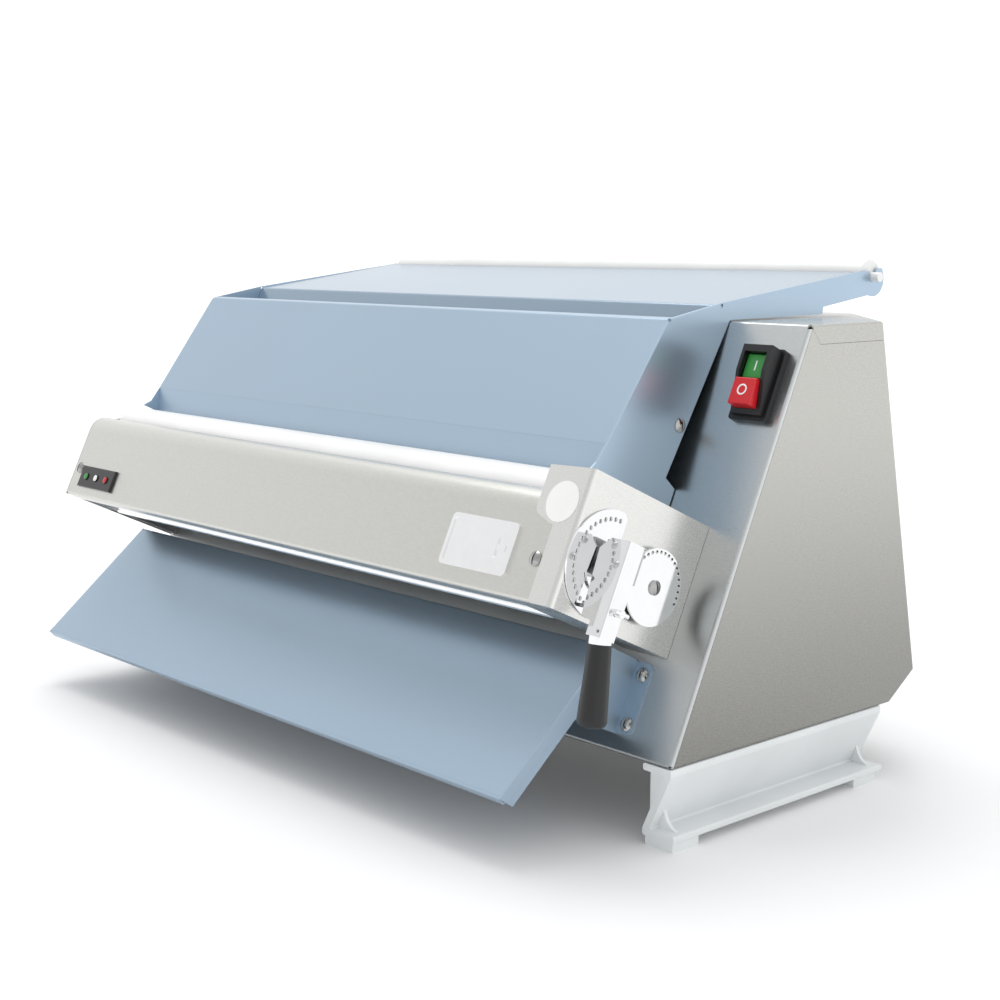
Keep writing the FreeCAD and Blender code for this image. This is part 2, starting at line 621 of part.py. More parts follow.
def build_guides():
    """The front guide plate with its hem bar, and the scrapers under both rollers."""
    x = (FRAME_IN_L + 0.3, FRAME_RIGHT - 0.3)
    guide = bent_sheet([(105.0, 72.9), (67.0, 73.5)], 1.2, (), x, to_yz)
    hem = face_rod(x, 67.0, 74.0, 3.0)
    write("guide_plate", union(guide, hem))
    reach = ROLLER_R + 0.4
    tip_n, tip_u = reach * math.sin(math.radians(32)), ROLLER_U - reach * math.cos(math.radians(32))
    tip = REAR_N + tip_n
    write("rear_scraper", face_prism([(35.0, 104.0), (43.0, 104.0), (43.0, 112.0), (tip + 0.6, tip_u - 0.4),
                                      (tip, tip_u), (40.6, 112.0), (35.0, 112.0)], x))
    tip = FRONT_N - tip_n
    inner = (CARRIAGE_X[1][1], CARRIAGE_X[0][0])
    return face_prism([(74.0, 104.0), (66.0, 104.0), (66.0, 112.0), (tip - 0.6, tip_u - 0.4),
                       (tip, tip_u), (68.4, 112.0), (74.0, 112.0)], inner)


# ---------------------------------------------------------------- rollers, gears and drive
def gear_face(centre_n, centre_u, phase, bore):
    """Involute spur gear outline at (n, u), one tooth's middle at the phase angle from +n to +u."""
    backlash, pressure = 0.35, math.radians(20)
    pitch_r = GEAR_MODULE * GEAR_TEETH / 2
    base_r = pitch_r * math.cos(pressure)
    outer_r, root_r = pitch_r + 0.95 * GEAR_MODULE, pitch_r - 1.25 * GEAR_MODULE
    half_tooth = math.pi / (2 * GEAR_TEETH) - backlash / (2 * pitch_r)

    def involute(radius):
        if radius <= base_r:
            return 0.0
        angle = math.acos(base_r / radius)
        return math.tan(angle) - angle

    start = half_tooth + involute(pitch_r)
    radii = [max(base_r, root_r) + (outer_r - max(base_r, root_r)) * i / 4 for i in range(5)]
    flank = [(root_r, start)] + [(radius, start - involute(radius)) for radius in radii]
    points = []
    for tooth in range(GEAR_TEETH):
        middle = math.radians(phase) + 2 * math.pi * tooth / GEAR_TEETH
        points += [(radius, middle - angle) for radius, angle in flank]
        points += [(radius, middle + angle) for radius, angle in reversed(flank)]
    outline = [(centre_n + r * math.cos(a), centre_u + r * math.sin(a)) for r, a in points]
    return face_prism(outline, GEAR_X).cut(face_rod((GEAR_X[0] - 1, GEAR_X[1] + 1), centre_n, centre_u, bore))


def mesh_phase(from_axis, to_axis, phase):
    """Phase that a gear needs to mesh with its neighbour of the same size."""
    toward = math.degrees(math.atan2(to_axis[1] - from_axis[1], to_axis[0] - from_axis[0]))
    return 2 * toward + 180 - phase + 180.0 / GEAR_TEETH


def build_gears():
    axes = [(REAR_N, ROLLER_U), *idler_axes(), (FRONT_N, ROLLER_U)]
    phases = [0.0]
    for here, there in zip(axes, axes[1:]):
        phases.append(mesh_phase(here, there, phases[-1]))
    bores = (SHAFT_R, STUD_R + RUNNING, STUD_R + RUNNING, SHAFT_R)
    names = ("rear_gear", "idler_gear_rear", "idler_gear_front", "front_gear")
    for name, (n, u), phase, bore in zip(names, axes, phases, bores):
        write(name, gear_face(n, u, phase, bore))


def roller(n):
    sleeve = face_rod(ROLLER_X, n, ROLLER_U, ROLLER_R)
    y, z = to_yz(n, ROLLER_U)
    sleeve = rounded(sleeve, 1.0, lambda edge: edge.Length > 2 * math.pi * ROLLER_R - 1)
    return sleeve.cut(rod((ROLLER_X[0] - 1, ROLLER_X[1] + 1), y, z, SHAFT_R))


def build_rollers():
    write("front_roller", roller(FRONT_N))
    write("rear_roller", roller(REAR_N))
    write("front_shaft", face_rod((FRAME_LEFT + 0.5, GEAR_X[1] + 1.5), FRONT_N, ROLLER_U, SHAFT_R))
    write("rear_shaft", face_rod((FRAME_LEFT + 0.5, PULLEY_X[1] + 1.0), REAR_N, ROLLER_U, SHAFT_R))
    write("rear_pulley", pulley(to_yz(REAR_N, ROLLER_U), REAR_PULLEY_R, SHAFT_R))


def pulley(axis, radius, bore):
    """A flat belt pulley with a low flange on each side."""
    y, z = axis
    wheel = rod(PULLEY_X, y, z, radius)
    for x in (PULLEY_X[0] - 1.2, PULLEY_X[1]):
        wheel = wheel.fuse(rod((x, x + 1.2), y, z, radius + 1.2))
    wheel = wheel.removeSplitter()
    return wheel.cut(rod((PULLEY_X[0] - 3, PULLEY_X[1] + 3), y, z, bore)) if bore else wheel


def belt_outline(extra):
    """The solid round both pulleys, at a distance from their rims."""
    first, second = to_yz(REAR_N, ROLLER_U), (MOTOR_Y, MOTOR_Z)
    r1, r2 = REAR_PULLEY_R + extra, MOTOR_PULLEY_R + extra
    dy, dz = second[0] - first[0], second[1] - first[1]
    along, span = math.atan2(dz, dy), math.hypot(dy, dz)
    lean = math.acos((r1 - r2) / span)
    corners = [(c[0] + r * math.cos(along + s * lean), c[1] + r * math.sin(along + s * lean))
               for c, r, s in ((first, r1, 1), (second, r2, 1), (second, r2, -1), (first, r1, -1))]
    x = (PULLEY_X[0] + 0.4, PULLEY_X[1] - 0.4)
    return union(prism(corners, x), rod(x, *first, r1), rod(x, *second, r2))


def build_drive():
    write("drive_belt", belt_outline(BELT).cut(belt_outline(CLEAR)))
    output = rod((276.0, PULLEY_X[1] + 1.0), MOTOR_Y, MOTOR_Z, 6.0)
    write("motor_pulley", union(pulley((MOTOR_Y, MOTOR_Z), MOTOR_PULLEY_R, 0), output))
    case = box((200.0, 268.0), (MOTOR_Y - 42, MOTOR_Y + 42), (MOTOR_Z - 42, MOTOR_Z + 42))
    case = rounded(case, 8.0, lambda edge: abs(edge.tangentAt(edge.FirstParameter).x) > 0.99)
    case = union(case, rod((268.0, 280.0), MOTOR_Y, MOTOR_Z, 20.0))
    case = case.cut(rod((275.0, 290.0), MOTOR_Y, MOTOR_Z, 6.0 + RUNNING))
    write("gearbox", case)
    body = rod((20.0, 192.0), MOTOR_Y, MOTOR_Z, 50.0)
    flange = rod((192.0, 200.0), MOTOR_Y, MOTOR_Z, 56.0).common(
        box((190, 202), (MOTOR_Y - 42, MOTOR_Y + 42), (0, 200)))
    fins = [box((35.0, 175.0), (MOTOR_Y - 54, MOTOR_Y + 54), (MOTOR_Z - 1.2 + 12 * i, MOTOR_Z + 1.2 + 12 * i))
            for i in range(-2, 3)]
    cowl = rod((0.0, 20.0), MOTOR_Y, MOTOR_Z, 54.0)
    write("motor", union(body, flange, cowl, *fins))
    deck = BOTTOM_Z + SHEET
    bracket = box((205.0, 263.0), (MOTOR_Y - 55, MOTOR_Y + 55), (deck, deck + 5))
    legs = [box((x, x + 5.0), (MOTOR_Y - 40, MOTOR_Y + 40), (deck, MOTOR_Z - 42)) for x in (208.0, 255.0)]
    write("motor_bracket", union(bracket, *legs))


def cam_outline(x):
    """Plate cam whose radius falls evenly with the lever's angle."""
    low = CAM_HIGH - GAP_TRAVEL
    steps = 24
    points = []
    for i in range(steps):
        fall = LEVER_SWEEP * i / steps
        points.append((180.0 - fall, CAM_HIGH - GAP_TRAVEL * fall / LEVER_SWEEP))
    rise = 360.0 - LEVER_SWEEP
    for i in range(steps):
        points.append((180.0 - LEVER_SWEEP - rise * i / steps, low + GAP_TRAVEL * i / steps))
    outline = [(LEVER_N + r * math.cos(math.radians(a)), LEVER_U + r * math.sin(math.radians(a)))
               for a, r in points]
    return face_prism(outline, x)


def carriage(x, boss_x):
    """Sliding bearing plate of the front roller, with the tongue that its cam bears on."""
    tongue = LEVER_N - CAM_HIGH - 0.35
    outline = [(62.5, 99.0), (tongue, 99.0), (tongue, 132.0), (92.0, 132.0), (96.0, 136.0), (96.0, 150.0),
               (89.0, 157.5), (68.0, 157.5), (62.5, 152.0)]
    plate = face_prism(outline, x)
    plate = union(plate, face_rod(boss_x, FRONT_N, ROLLER_U, CARRIAGE_BOSS_R))
    return plate.cut(face_rod((min(x + boss_x) - 1, max(x + boss_x) + 1), FRONT_N, ROLLER_U, BUSH_R))


def build_carriages(front_scraper):
    right, left = CARRIAGE_X
    boss_right, boss_left = (right[1] - 1, FRAME_OUT_R - 0.3), (FRAME_LEFT + 0.3, left[0] + 1)
    stud_n, stud_u = idler_axes()[1]
    stud = union(face_rod((right[0], GEAR_X[1] + 3), stud_n, stud_u, STUD_R),
                 face_rod((FRAME_OUT_R + CLEAR, GEAR_X[0] - 0.4), stud_n, stud_u, 6.5))
    write("carriage_right", union(carriage(right, boss_right), stud))
    write("carriage_left", carriage(left, boss_left))
    write("front_bushes", *[tube(x, FRONT_N, ROLLER_U, BUSH_R, SHAFT_R + RUNNING)
                            for x in ((right[0], boss_right[1]), (boss_left[0], left[1]))])
    write("front_scraper", front_scraper)


# ---------------------------------------------------------------- lever, index plate and limit disc
def ring_point(radius, angle, n, u):
    return n + radius * math.cos(math.radians(angle)), u + radius * math.sin(math.radians(angle))


def relief_slot():
    """Curved slot inside the ring of holes, blunt at the top and narrowing downwards."""
    radius, start, end, steps = 20.8, -30.0, -79.0, 10
    inner, outer = [], []
    for i in range(steps + 1):
        angle, half = start + (end - start) * i / steps, 2.0 - 1.4 * i / steps
        outer.append(ring_point(radius + half, angle, LEVER_N, LEVER_U))
        inner.append(ring_point(radius - half, angle, LEVER_N, LEVER_U))
    return face_prism(outer + inner[::-1], (SECTOR_X[0] - 1, SECTOR_X[1] + 1))


def build_sector():
    """Half disc with a hole for every notch and a curved slot inside them."""
    straight = LEVER_N - 5.5
    disc = face_rod(SECTOR_X, LEVER_N, LEVER_U, SECTOR_R)
    disc = disc.common(face_box(SECTOR_X, (straight, LEVER_N + 50), (50, 170)))
    top = LEVER_U + math.sqrt(SECTOR_R ** 2 - 5.5 ** 2)
    nick = face_prism([(straight - 1, top - 4.0), (straight + 4.0, top + 1.0), (straight - 1, top + 1.0)],
                      (SECTOR_X[0] - 1, SECTOR_X[1] + 1))
    plate = union(disc.cut(nick), face_rod(SECTOR_X, LEVER_N, LEVER_U, 13.0))
    reach = (SECTOR_X[0] - 1, SECTOR_X[1] + 1)
    cuts = [face_rod(reach, LEVER_N, LEVER_U, CAM_SHAFT_R + 0.4), relief_slot()]
    for i in range(NOTCHES + 1):
        place = ring_point(INDEX_R, FIRST_NOTCH + NOTCH * i, LEVER_N, LEVER_U)
        cuts.append(face_rod(reach, *place, 1.6))
    write("index_plate", plate.cut(Part.makeCompound(cuts)))


def build_limit_disc():
    """Stop disc with an arc of rim holes, standing off the end plate on a hub."""
    disc = face_rod(DISC_X, DISC_N, DISC_U, DISC_R)
    through = (DISC_X[0] - 1, DISC_X[1] + 1)
    cuts = [face_rod(through, *ring_point(DISC_R - 2.5, DISC_PITCH * i, DISC_N, DISC_U), 1.3)
            for i in range(DISC_HOLES)]
    disc = disc.cut(Part.makeCompound(cuts))
    hub = face_rod((HEAD_RIGHT + CLEAR, DISC_X[0]), DISC_N, DISC_U, 9.0)
    bore = face_rod((HEAD_RIGHT - 1, DISC_X[1] + 1), DISC_N, DISC_U, 2.45)
    write("limit_disc", union(disc, hub).cut(bore))


def lever_plate(pin):
    """The lever's bent plate: outer strip, front flange, foot shelf and the plunger's guide."""
    strip = face_box((LEVER_OUT - 1.5, LEVER_OUT), (87.0, LEVER_FRONT), (LEVER_LOW, LEVER_HIGH))
    flange = face_plate([(LEVER_OUT, LEVER_LOW), (LEVER_OUT, LEVER_HIGH), (324.0, LEVER_HIGH),
                         (316.2, 119.5), (319.4, 73.5), (328.3, 71.5), (328.3, LEVER_LOW)],
                        (LEVER_FRONT - LEVER_T, LEVER_FRONT))
    shelf = face_box((328.3, LEVER_OUT), (87.0, LEVER_FRONT), (LEVER_LOW, LEVER_LOW + 1.6))
    guide = face_rod((329.0, LEVER_OUT - 1), *pin, 3.6)
    plate = union(strip, flange, shelf, guide)
    corner = face_point(LEVER_OUT, LEVER_FRONT, 0)

    def bend(edge):
        off = edge.valueAt((edge.FirstParameter + edge.LastParameter) / 2) - corner
        return abs(off.dot(FACE_NORMAL)) < 0.01 and abs(off.x) < 0.01 and edge.Length > 50

    hole = aim(Part.makeCylinder(1.3, 10, V(0, 0, -5)), face_point(337.6, LEVER_FRONT, 65.8), FACE_NORMAL)
    return rounded(plate, 1.3, bend).cut(face_rod((320, 350), *pin, PLUNGER_R + 0.08)).cut(hole)


def build_lever():
    pin = ring_point(INDEX_R, FIRST_NOTCH, LEVER_N, LEVER_U)
    write("lever", lever_plate(pin))
    hub = face_box((DISC_X[1] + 0.8, 338.0), (82.0, LEVER_FRONT - LEVER_T), (102.0, 126.0))
    hub = hub.cut(face_rod((310, 335.0), LEVER_N, LEVER_U, CAM_SHAFT_R + SNUG))
    ball = Part.makeCylinder(2.6, 1.6).common(Part.makeSphere(3.0, V(0, 0, -1.4)))
    heads = [aim(ball, face_point(x, LEVER_FRONT, u), FACE_NORMAL)
             for x, u in ((328.2, 122.5), (334.8, 110.3))]
    write("lever_hub", hub, *heads)
    shaft = face_rod((FRAME_LEFT + 0.4, 335.0), LEVER_N, LEVER_U, CAM_SHAFT_R)
    bore = face_rod((FRAME_LEFT, 335.0), LEVER_N, LEVER_U, CAM_SHAFT_R + SNUG)
    cams = [cam_outline((x[0] + 0.2, x[1] - 0.2)).cut(bore) for x in CARRIAGE_X]
    write("cam_shaft", shaft, *cams)
    build_grip()
    knob = face_rod((LEVER_OUT + 0.3, 346.6), *pin, 2.6)
    cross = aim(Part.makeCylinder(1.7, 13.0, V(0, 0, -6.5)), face_point(345.0, *pin), FACE_NORMAL)
    stem = face_rod((SECTOR_X[1] + CLEAR, LEVER_OUT + 1), *pin, PLUNGER_R)
    write("index_plunger", union(stem, knob, cross))


def build_grip():
    """Tapered black grip on a short metal ferrule, leaning from the lever's foot shelf."""
    ferrule_h, length, top_r, low_r, round_r = 3.2, 57.0, 7.6, 10.0, 5.0
    outline = [V(0, 0, ferrule_h), V(top_r, 0, ferrule_h)]
    side = Part.LineSegment(outline[1], V(low_r, 0, length - round_r)).toShape()
    turn = Part.Arc(V(low_r, 0, length - round_r), V(low_r - round_r * 0.29, 0, length - round_r * 0.29),
                    V(low_r - round_r, 0, length)).toShape()
    edges = [Part.LineSegment(*outline).toShape(), side, turn,
             Part.LineSegment(V(low_r - round_r, 0, length), V(0, 0, length)).toShape(),
             Part.LineSegment(V(0, 0, length), outline[0]).toShape()]
    grip = Part.Face(Part.Wire(edges)).revolve(V(0, 0, 0), V(0, 0, 1), 360)
    down = V(math.tan(math.radians(GRIP_OUT)), 0, 0) - FACE_UP - \
        FACE_NORMAL * math.tan(math.radians(GRIP_IN))
    top = face_point(*GRIP_TOP)
    write("lever_grip", aim(grip, top, down))
    ferrule = Part.makeCylinder(7.8, ferrule_h + 2.4, V(0, 0, -2.4))
    above = face_box((300, 360), (70, 120), (LEVER_LOW, LEVER_LOW + 20))
    write("grip_ferrule", aim(ferrule, top, down).cut(above))


# ---------------------------------------------------------------- hopper and upper tray
def hopper_side(x, low_u, outer):
    """One side of the hopper and tray, in a single sheet, with the roller's open slot at the back."""
    y, z = TRAY_ROLLER
    outline = [HOPPER_FRONT_TOP, HOPPER_FOLD, to_yz(84.5, 179.5), to_yz(90.3, low_u), to_yz(1.0, low_u),
               to_yz(1.0, 190.0), to_yz(13.4, 194.2), (137.5, 291.0), (246.7, 292.0), (247.7, 297.6),
               (304.0, 305.2), TRAY_REAR, (127.6, 303.6)]
    side = union(prism(outline, x), rod(x, y + 0.6, 318.0, TRAY_ROLLER_R))
    wide = (x[0] - 1, x[1] + 1)
    slot = PIN_R + 0.4
    side = side.cut(rod(wide, y, z, PIN_R + 0.15))
    side = side.cut(box(wide, (y - slot, y + slot), (z, z + 30)))
    side = side.cut(box(wide, (y - 14, y), (z + 4.6, z + 30)))
    side = side.cut(box(wide, (y, y + 20), (z + 6.8, z + 30)))
    for corner_y, corner_z, radius in (HOPPER_FRONT_TOP + (1.6,), TRAY_FRONT + (1.4,)):
        side = side.cut(rod(wide, corner_y + 0.6, corner_z - 0.6, radius))

    def long_edge(edge):
        middle = edge.valueAt((edge.FirstParameter + edge.LastParameter) / 2)
        return abs(middle.x - outer) < 0.01 and edge.Length > 40 and middle.z > 150 and middle.y < 240 and \
            middle.z > 176 + 0.93 * middle.y
    return rounded(side, 0.9, long_edge)


def build_hopper():
    inner = (HOPPER_X[0] + SHEET + 0.05, HOPPER_X[1] - SHEET - 0.05)
    sides = (("hopper_side_right", (HOPPER_X[1] - SHEET, HOPPER_X[1]), 168.2),
             ("hopper_side_left", (HOPPER_X[0], HOPPER_X[0] + SHEET), 173.0))
    for name, x, low_u in sides:
        side = hopper_side(x, low_u, max(x, key=abs))
        for origin, way in slotted_places()[6:8]:
            side = side.cut(aim(Part.makeCylinder(2.45, 40, V(0, 0, -20)), origin, way))
        write(name, side)
    lip = to_yz(74.2, 172.9)
    front = bent_sheet([lip, HOPPER_FOLD, HOPPER_FRONT_TOP, (79.0, 294.6)], 1.2, (1.5, 1.2), inner)
    write("hopper_front", front)
    wall = to_yz(14.1, 190.0)
    toe = to_yz(26.0, 176.0)
    tray = bent_sheet([toe, wall, TRAY_FRONT, (292.0, 323.8)], 1.2, (2.0, 2.0), inner)
    write("hopper_tray", tray)
    y, z = TRAY_ROLLER
    body = rod((inner[0] + 1.2, inner[1] - 1.2), y, z, TRAY_ROLLER_R)
    body = rounded(body, 1.0, lambda edge: edge.Length > 2 * math.pi * TRAY_ROLLER_R - 1)
    write("tray_roller", body.cut(rod((inner[0], inner[1]), y, z, PIN_R)))
    write("tray_roller_axle", rod((HOPPER_X[0] - PIN_REACH, HOPPER_X[1] + PIN_REACH), y, z, PIN_R))


# ---------------------------------------------------------------- outlet chute
def build_chute():
    """Sloping outlet tray with a hemmed front lip, deep side flanges and a bracket on each side."""
    top, front = V(0, *CHUTE_TOP), V(0, *CHUTE_FRONT)
    way = (front - top).normalize()
    down = V(0, -way.z, way.y)
    thick = 1.2
    lip = front + down * CHUTE_LIP
    back = V(0, *to_yz(1.4, 64.8))
    path = [(p.y, p.z) for p in (lip - way * 6.0, lip, front, top, back)]
    tray = bent_sheet(path, thick, (0.6, 1.2, 2.0), (CHUTE_X[0] + thick, CHUTE_X[1] - thick))
    low = front + down * CHUTE_SIDE
    outline = [to_yz(0.1, 63.6), CHUTE_TOP, CHUTE_FRONT,
               (low.y + 3.0, low.z + 2.5), (-34.9, 28.4), (4.8, 10.4)]
    chute = tray
    right, left = (CHUTE_X[1] - thick, CHUTE_X[1]), (CHUTE_X[0], CHUTE_X[0] + thick)
    for x, flange_x in ((right, 304.0), (left, -322.0)):
        outer = max(x, key=abs)

        def fold_edge(edge):
            middle = edge.valueAt((edge.FirstParameter + edge.LastParameter) / 2)
            along = edge.tangentAt(edge.FirstParameter).dot(way)
            return abs(middle.x - outer) < 0.01 and abs(along) > 0.99 and middle.z > -20 and \
                (middle - front).dot(down) < 0.1

        side = rounded(prism(outline, x), 1.1, fold_edge)
        wing = face_box((min(outer, flange_x), max(outer, flange_x)), (0, thick), (12.5, 64.0))

        def wing_corner(edge):
            return abs(edge.tangentAt(edge.FirstParameter).dot(FACE_NORMAL)) > 0.99 and \
                abs(edge.valueAt(edge.FirstParameter).x - flange_x) < 0.01

        chute = union(chute, side, rounded(wing, 5.0, wing_corner))
    for origin, direction in slotted_places()[2:6]:
        chute = chute.cut(aim(Part.makeCylinder(2.45, 20, V(0, 0, -10)), origin, direction))
    write("outlet_chute", chute)


# ---------------------------------------------------------------- switch and cable gland
def min_height(edge):
    """The lesser n of an edge's two ends."""
    return min(edge.valueAt(edge.FirstParameter).dot(FACE_NORMAL),
               edge.valueAt(edge.LastParameter).dot(FACE_NORMAL))


def build_switch():
    """Black switch with a hooded well, a flush start button and a raised stop button."""
    x, u = SWITCH_X, SWITCH_U
    base = rounded(face_box(x, (0, 5.5), u), 2.5,
                   lambda edge: abs(edge.tangentAt(edge.FirstParameter).dot(FACE_NORMAL)) > 0.99)
    hood = face_prism([(5.0, 249.0), (9.0, 249.0), (17.0, 279.0), (17.0, 298.0), (5.0, 298.0)],
                      (BUTTON_X[0] - 3.0, BUTTON_X[1] + 4.0))
    stem = face_box((x[0] + 7, x[1] - 7), (-30.0, 0.5), (u[0] + 8, u[1] - 8))
    body = union(base, hood, stem)
    play = 0.3
    well = face_box((BUTTON_X[0] - play, BUTTON_X[1] + play), (-12.0, 30.0),
                    (RED_U[0] - play, GREEN_U[1] + play))
    write("switch_housing", body.cut(well))
    for name, span, top in (("start_button", GREEN_U, 12.5), ("stop_button", RED_U, 19.0)):
        key = face_box(BUTTON_X, (-7.5, top), span)
        write(name, rounded(key, 1.0, lambda edge: min_height(edge) > top - 0.1))


def build_gland():
    origin, way = gland_place()
    hexagon = Part.Face(Part.makePolygon([V(11.5 * math.cos(math.radians(60 * i)),
                                            11.5 * math.sin(math.radians(60 * i)), 0) for i in range(7)]))
    body = hexagon.extrude(V(0, 0, 5))
    body = union(body, Part.makeCylinder(8.0, 12.0, V(0, 0, -11)), Part.makeCylinder(9.5, 8.0, V(0, 0, 4.5)),
                 Part.makeCone(9.5, 6.5, 5.0, V(0, 0, 12.5)))
    body = body.cut(Part.makeCylinder(4.0, 60, V(0, 0, -30)))
    write("cable_gland", aim(body, origin, way))


def build_fixings():
    write("slotted_screws", *[slotted_screw(origin, way, way.x == 0) for origin, way in slotted_places()])
    write("housing_screws", *[socket_screw(origin, way)
                              for origin, way in foot_screw_places() + back_screw_places()])


def main():
    os.makedirs("parts", exist_ok=True)
    build_housing()
    write("foot_right", foot(1))
    write("foot_left", foot(-1))
    build_fixings()
    build_frames()
    build_end_plate()
    build_left_end_cover()
    build_cover()
    build_head_trim()
    build_carriages(build_guides())
    build_rollers()
    build_gears()
    build_drive()
    build_sector()
    build_limit_disc()
    build_lever()
    build_hopper()
    build_chute()
    build_switch()
    build_gland()


main()
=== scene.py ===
"""Looks of the table-top dough sheeter: procedural finishes on every part, a few small trims, and a plain
pale studio.  Lengths are in metres unless a note says mm.  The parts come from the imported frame, and the
trims are set on them by the places written below.
"""

import json
import math

import bmesh
import bpy
from mathutils import Matrix, Vector


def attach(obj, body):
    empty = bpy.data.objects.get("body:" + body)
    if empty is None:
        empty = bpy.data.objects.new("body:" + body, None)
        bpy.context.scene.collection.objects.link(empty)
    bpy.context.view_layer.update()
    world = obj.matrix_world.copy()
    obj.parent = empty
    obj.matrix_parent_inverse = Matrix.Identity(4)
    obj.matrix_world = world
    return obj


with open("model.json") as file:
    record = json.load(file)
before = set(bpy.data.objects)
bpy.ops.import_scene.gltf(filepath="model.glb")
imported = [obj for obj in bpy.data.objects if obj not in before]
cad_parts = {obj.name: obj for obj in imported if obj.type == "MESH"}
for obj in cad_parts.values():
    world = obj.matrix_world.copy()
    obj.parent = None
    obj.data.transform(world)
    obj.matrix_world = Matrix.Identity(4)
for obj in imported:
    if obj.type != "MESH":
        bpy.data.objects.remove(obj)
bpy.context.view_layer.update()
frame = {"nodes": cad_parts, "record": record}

MM = 0.001
LEAN = math.radians(25.36)                  # the sloping front face leans back by this much
DATUM = Vector((0, -0.110425, 0.0593))      # bottom front edge of the housing
FACE_NORMAL = Vector((0, -math.cos(LEAN), math.sin(LEAN)))
FACE_UP = Vector((0, math.sin(LEAN), math.cos(LEAN)))

# places on the sloping face in mm: x, the distance out of the face and the distance up it
START_MARK = (318.95, 12.45, 283.8)
STOP_MARK = (318.95, 18.95, 263.4)
FIRST_STUD = (-311.5, 125.5, 89.55)
STUD_PITCH = 17.5


# ---------------------------------------------------------------- material helpers
MIX_A, MIX_B, MIX_RESULT = 6, 7, 2          # the colour sockets of a Mix node


class Nodes:
    """A shader node tree, and helpers that add nodes to it."""

    def __init__(self, tree):
        self.tree = tree

    def add(self, kind, inputs=(), **settings):
        node = self.tree.nodes.new(kind)
        for name, value in settings.items():
            setattr(node, name, value)
        for key, value in dict(inputs).items():
            if isinstance(value, bpy.types.NodeSocket):
                self.tree.links.new(value, node.inputs[key])
            else:
                node.inputs[key].default_value = value
        return node

    def math(self, operation, first, second):
        return self.add("ShaderNodeMath", {0: first, 1: second}, operation=operation).outputs[0]

    def axis(self, place, name):
        return self.add("ShaderNodeSeparateXYZ", {"Vector": place}).outputs[name]

    def spread(self, value, low, high, start=0.15, end=0.85):
        """A number carried smoothly from the range start..end to the range low..high."""
        node = self.add("ShaderNodeMapRange", {"Value": value, "From Min": start, "From Max": end,
                                               "To Min": low, "To Max": high})
        node.interpolation_type = "SMOOTHSTEP"
        return node.outputs["Result"]


class Finish(Nodes):
    """A procedural material: one Principled shader, and helpers that add nodes in front of it."""

    def __init__(self, name, **values):
        self.material = bpy.data.materials.new(name)
        self.material.use_nodes = True
        super().__init__(self.material.node_tree)
        self.shader = self.tree.nodes["Principled BSDF"]
        for socket, value in values.items():
            self.shader.inputs[socket.replace("_", " ").title()].default_value = value
        self.place = self.add("ShaderNodeTexCoord").outputs["Object"]

    def noise(self, per_metre, detail=3.0, roughness=0.5):
        """Noise with its own number of features per metre along X, Y and Z."""
        stretch = self.add("ShaderNodeMapping", {"Vector": self.place, "Scale": per_metre})
        return self.add("ShaderNodeTexNoise", {"Vector": stretch.outputs["Vector"], "Scale": 1.0,
                                               "Detail": detail, "Roughness": roughness}).outputs["Fac"]

    def blend(self, value, dark, light):
        """A colour between dark and light, by a number."""
        mix = self.add("ShaderNodeMix", {"Factor": self.spread(value, 0.0, 1.0)}, data_type="RGBA")
        mix.inputs[MIX_A].default_value = (*dark, 1)
        mix.inputs[MIX_B].default_value = (*light, 1)
        return mix.outputs[MIX_RESULT]

    def darken(self, colour, factor):
        """A colour multiplied by a number."""
        mix = self.add("ShaderNodeMix", {"Factor": 1.0}, data_type="RGBA", blend_type="MULTIPLY")
        self.tree.links.new(colour, mix.inputs[MIX_A])
        self.tree.links.new(factor, mix.inputs[MIX_B])
        return mix.outputs[MIX_RESULT]

    def colour(self, value, dark, light):
        self.base(self.blend(value, dark, light))

    def base(self, colour):
        self.tree.links.new(colour, self.shader.inputs["Base Color"])

    def rough(self, value, low, high, start=0.15, end=0.85):
        self.tree.links.new(self.spread(value, low, high, start, end), self.shader.inputs["Roughness"])

    def bump(self, value, depth, strength):
        """Relief of a depth in metres."""
        relief = self.add("ShaderNodeBump", {"Height": value, "Distance": depth, "Strength": strength})
        self.tree.links.new(relief.outputs["Normal"], self.shader.inputs["Normal"])


def tint(colour, factor):
    return tuple(min(1.0, channel * factor) for channel in colour)


def brushed(name, colour, rough, along, grain, low_painted_shade=1.0):
    """Brushed sheet: short scratches that run along one axis, cloudy gloss, and painted shade that darkens
    the colour low down.
    """
    across, lengthwise = 1000.0, 240.0
    painted_shade_from, painted_shade_to = 0.05, 0.30             # heights between which the painted shade clears
    finish = Finish(name, metallic=1.0)
    per_metre = [lengthwise if axis == along else across for axis in "xyz"]
    scratches = finish.noise(per_metre, 3.0, 0.6)
    clouds = finish.noise((7.0, 7.0, 7.0), 3.0, 0.55)
    metal = finish.blend(scratches, tint(colour, 1 - 0.16 * grain), tint(colour, 1 + 0.14 * grain))
    # painted shade: the base colour darkens towards the bottom, standing in for the darker reflection and
    # shade low on the panel
    painted_shade = finish.spread(finish.axis(finish.place, "Z"), low_painted_shade, 1.0, painted_shade_from, painted_shade_to)
    finish.base(finish.darken(metal, painted_shade))
    gloss = finish.math("MULTIPLY", scratches, clouds)
    finish.rough(gloss, rough - 0.03, rough + 0.04, 0.05, 0.5)
    finish.bump(scratches, 0.000010 * grain, 0.5)
    return finish.material


def polished(name, colour, rough):
    """Bright metal with a soft haze of fingerprints and hairline scratches."""
    finish = Finish(name, metallic=1.0)
    haze = finish.noise((60.0, 60.0, 60.0), 4.0, 0.6)
    finish.colour(haze, tint(colour, 0.95), colour)
    finish.rough(haze, rough, rough + 0.05)
    hair = finish.noise((3000.0, 300.0, 3000.0), 2.0)
    finish.bump(hair, 0.000003, 0.5)
    return finish.material


